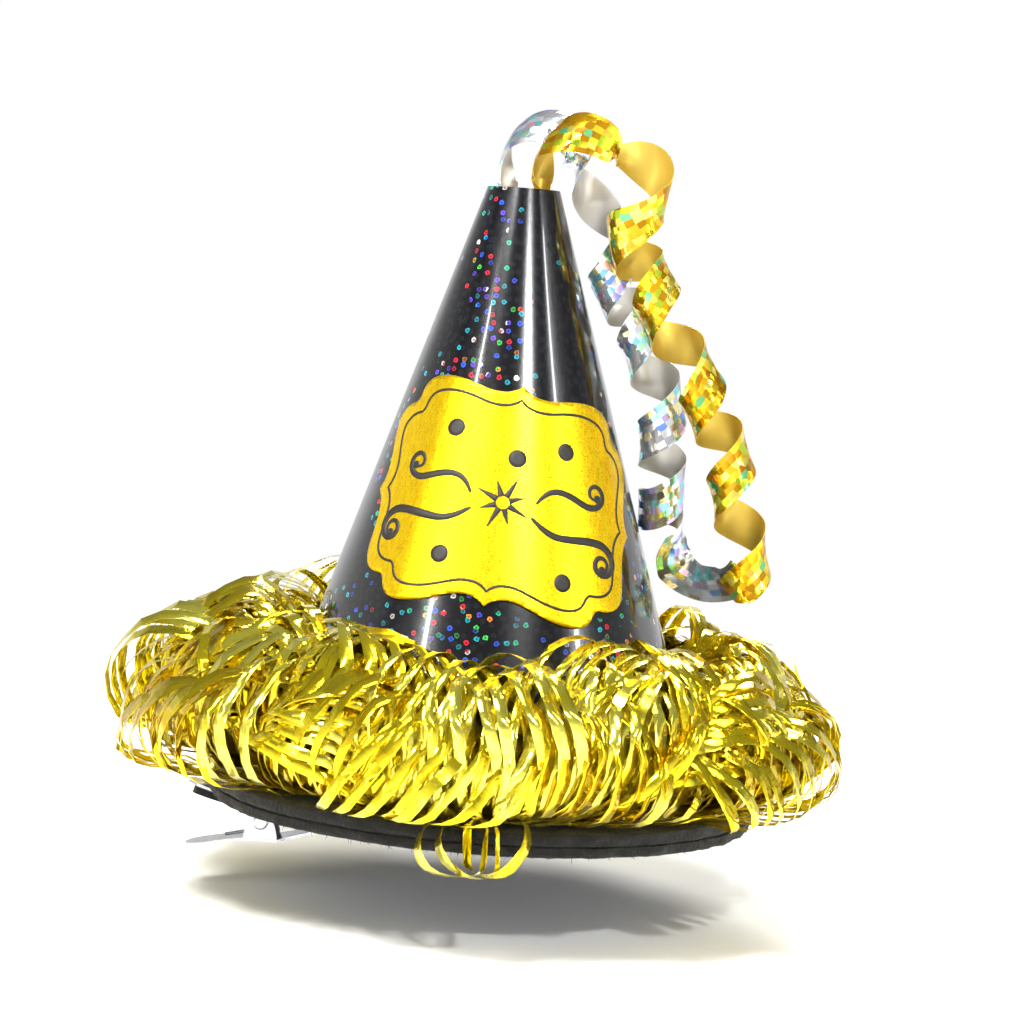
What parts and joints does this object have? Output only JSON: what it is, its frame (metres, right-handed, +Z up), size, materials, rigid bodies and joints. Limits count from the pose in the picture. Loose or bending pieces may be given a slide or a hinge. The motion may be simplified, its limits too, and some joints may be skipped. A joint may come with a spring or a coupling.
{
  "type": "clip-on mini party hat",
  "caption": "Mini party hat on a hair clip: black foil-card cone with a gold plaque, gold foil loop fringe, curled gold and silver ribbon streamers, felt disc and sprung clip",
  "frame": {"origin": "centre of the disc's felt underside, on the cone's axis, where the hat rests on the head", "axes": "+Z up the cone's axis, +X to the right of the label as a viewer facing it sees it, with the clip's levers at -X, -Y towards the viewer"},
  "size_m": [0.1708, 0.1624, 0.1811],
  "materials": {
    "foil_card": "gloss",
    "gold_foil": "polished",
    "gold_film": "polished",
    "silver_film": "polished",
    "black_felt": "matte",
    "greyboard": "matte",
    "hot_melt_glue": "satin",
    "plated_steel": "satin",
    "spring_steel": "satin"
  },
  "bodies": {
    "hat": {"cone_card": "foil_card", "label_plaque": "gold_foil", "felt_underside": "black_felt", "base_board": "greyboard", "felt_top": "black_felt", "cone_glue_bead": "hot_melt_glue", "tip_glue_plug": "hot_melt_glue", "clip_glue_pad": "hot_melt_glue", "fringe_heading": "gold_film", "fringe_tuft_01": "gold_film", "fringe_tuft_02": "gold_film", "fringe_tuft_03": "gold_film", "fringe_tuft_04": "gold_film", "fringe_tuft_05": "gold_film", "fringe_tuft_06": "gold_film", "fringe_tuft_07": "gold_film", "fringe_tuft_08": "gold_film", "fringe_tuft_09": "gold_film", "fringe_tuft_10": "gold_film", "fringe_tuft_11": "gold_film", "fringe_tuft_12": "gold_film", "clip_upper_arm": "plated_steel", "clip_pin": "plated_steel", "clip_spring": "spring_steel", "felt_tab": "black_felt", "silver_streamer": "silver_film", "gold_streamer": "gold_film"},
    "clip_jaw": {"clip_lower_arm": "plated_steel"}
  },
  "joints": [
    {"name": "clip_hinge", "type": "hinge", "parent": "hat", "child": "clip_jaw", "pos_m": [-0.0513, -0.006, -0.0067], "axis": [0, 1, 0], "range_deg": [0, 30], "stiffness_Nm_per_rad": 0.08, "springref_deg": -34.38, "deforming": ["clip_spring"]}
  ]
}
